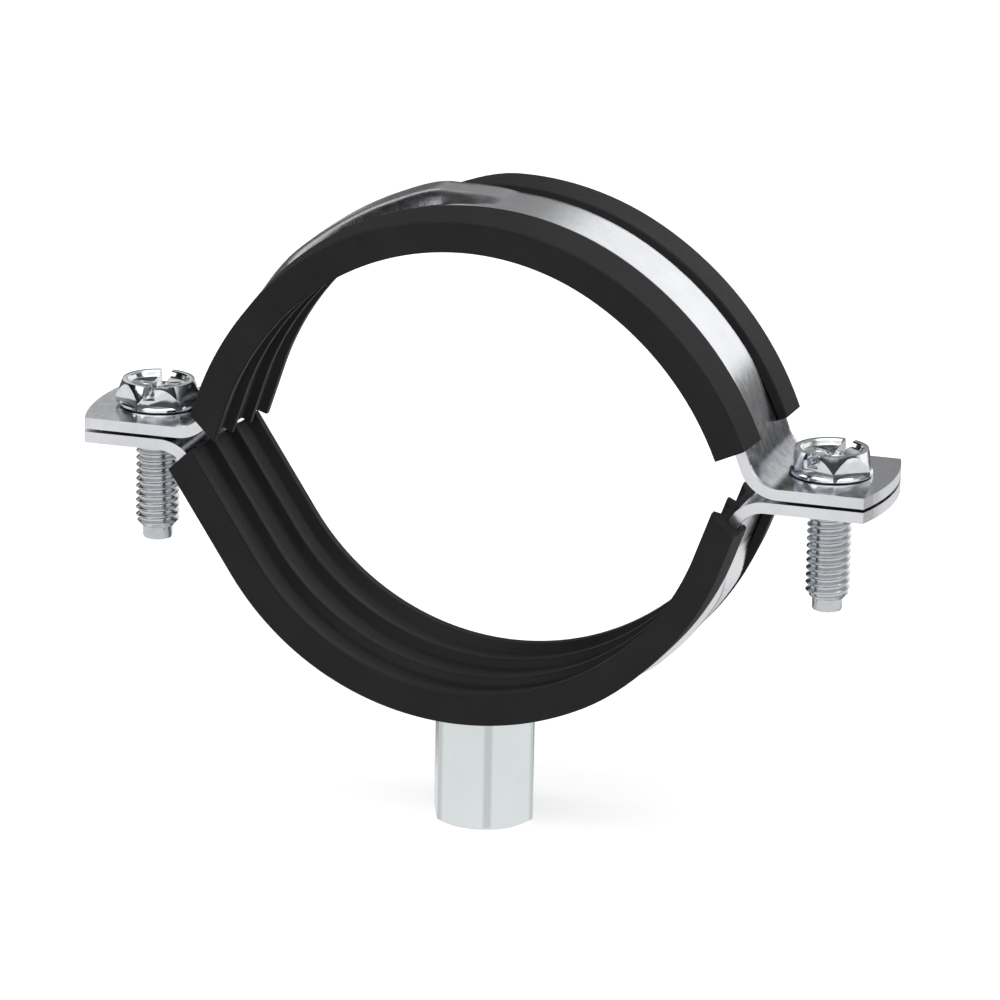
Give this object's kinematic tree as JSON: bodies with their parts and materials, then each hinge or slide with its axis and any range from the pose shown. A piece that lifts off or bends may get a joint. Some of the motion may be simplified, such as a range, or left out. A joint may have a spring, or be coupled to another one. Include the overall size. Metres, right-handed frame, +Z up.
{
  "type": "rubber_lined_pipe_clamp",
  "caption": "Rubber lined steel pipe clamp, two half bands drawn together by slotted hexagon flange screws, with a hexagonal threaded boss below for hanging it from a rod",
  "frame": {"origin": "centre of the boss's flat lower face, where the rod enters", "axes": "+Z up along the boss and the screws, +Y along the pipe away from the viewer, +X to the right from screw to screw"},
  "size_m": [0.1114, 0.026, 0.0873],
  "materials": {
    "zinc_strip": "bright zinc plated strip with a faint rolled grain",
    "zinc_boss": "pale satin zinc plating",
    "zinc_screw": "bright zinc plating, smooth and reflective",
    "rubber": "matte black moulded rubber"
  },
  "bodies": {
    "lower_half": {"lower_band": "zinc_strip", "lower_lining": "rubber", "boss": "zinc_boss"},
    "upper_half": {"upper_band": "zinc_strip", "upper_lining": "rubber"},
    "left_screw": {"left_screw": "zinc_screw"},
    "right_screw": {"right_screw": "zinc_screw"}
  },
  "joints": [
    {"name": "upper_half_lift", "type": "slide", "parent": "lower_half", "child": "upper_half", "axis": [0, 0, 1], "range_m": [0, 0.013]},
    {"name": "left_screw_turn", "type": "hinge", "parent": "upper_half", "child": "left_screw", "pos_m": [-0.0472, 0, 0.0534], "axis": [0, 0, 1], "range_deg": [0, 4680]},
    {"name": "right_screw_turn", "type": "hinge", "parent": "upper_half", "child": "right_screw", "pos_m": [0.0472, 0, 0.0534], "axis": [0, 0, 1], "range_deg": [0, 4680]}
  ],
  "couplings": [
    {"joint": "left_screw_turn", "follows": "upper_half_lift", "rad_per_m": 6283.2},
    {"joint": "right_screw_turn", "follows": "upper_half_lift", "rad_per_m": 6283.2}
  ]
}
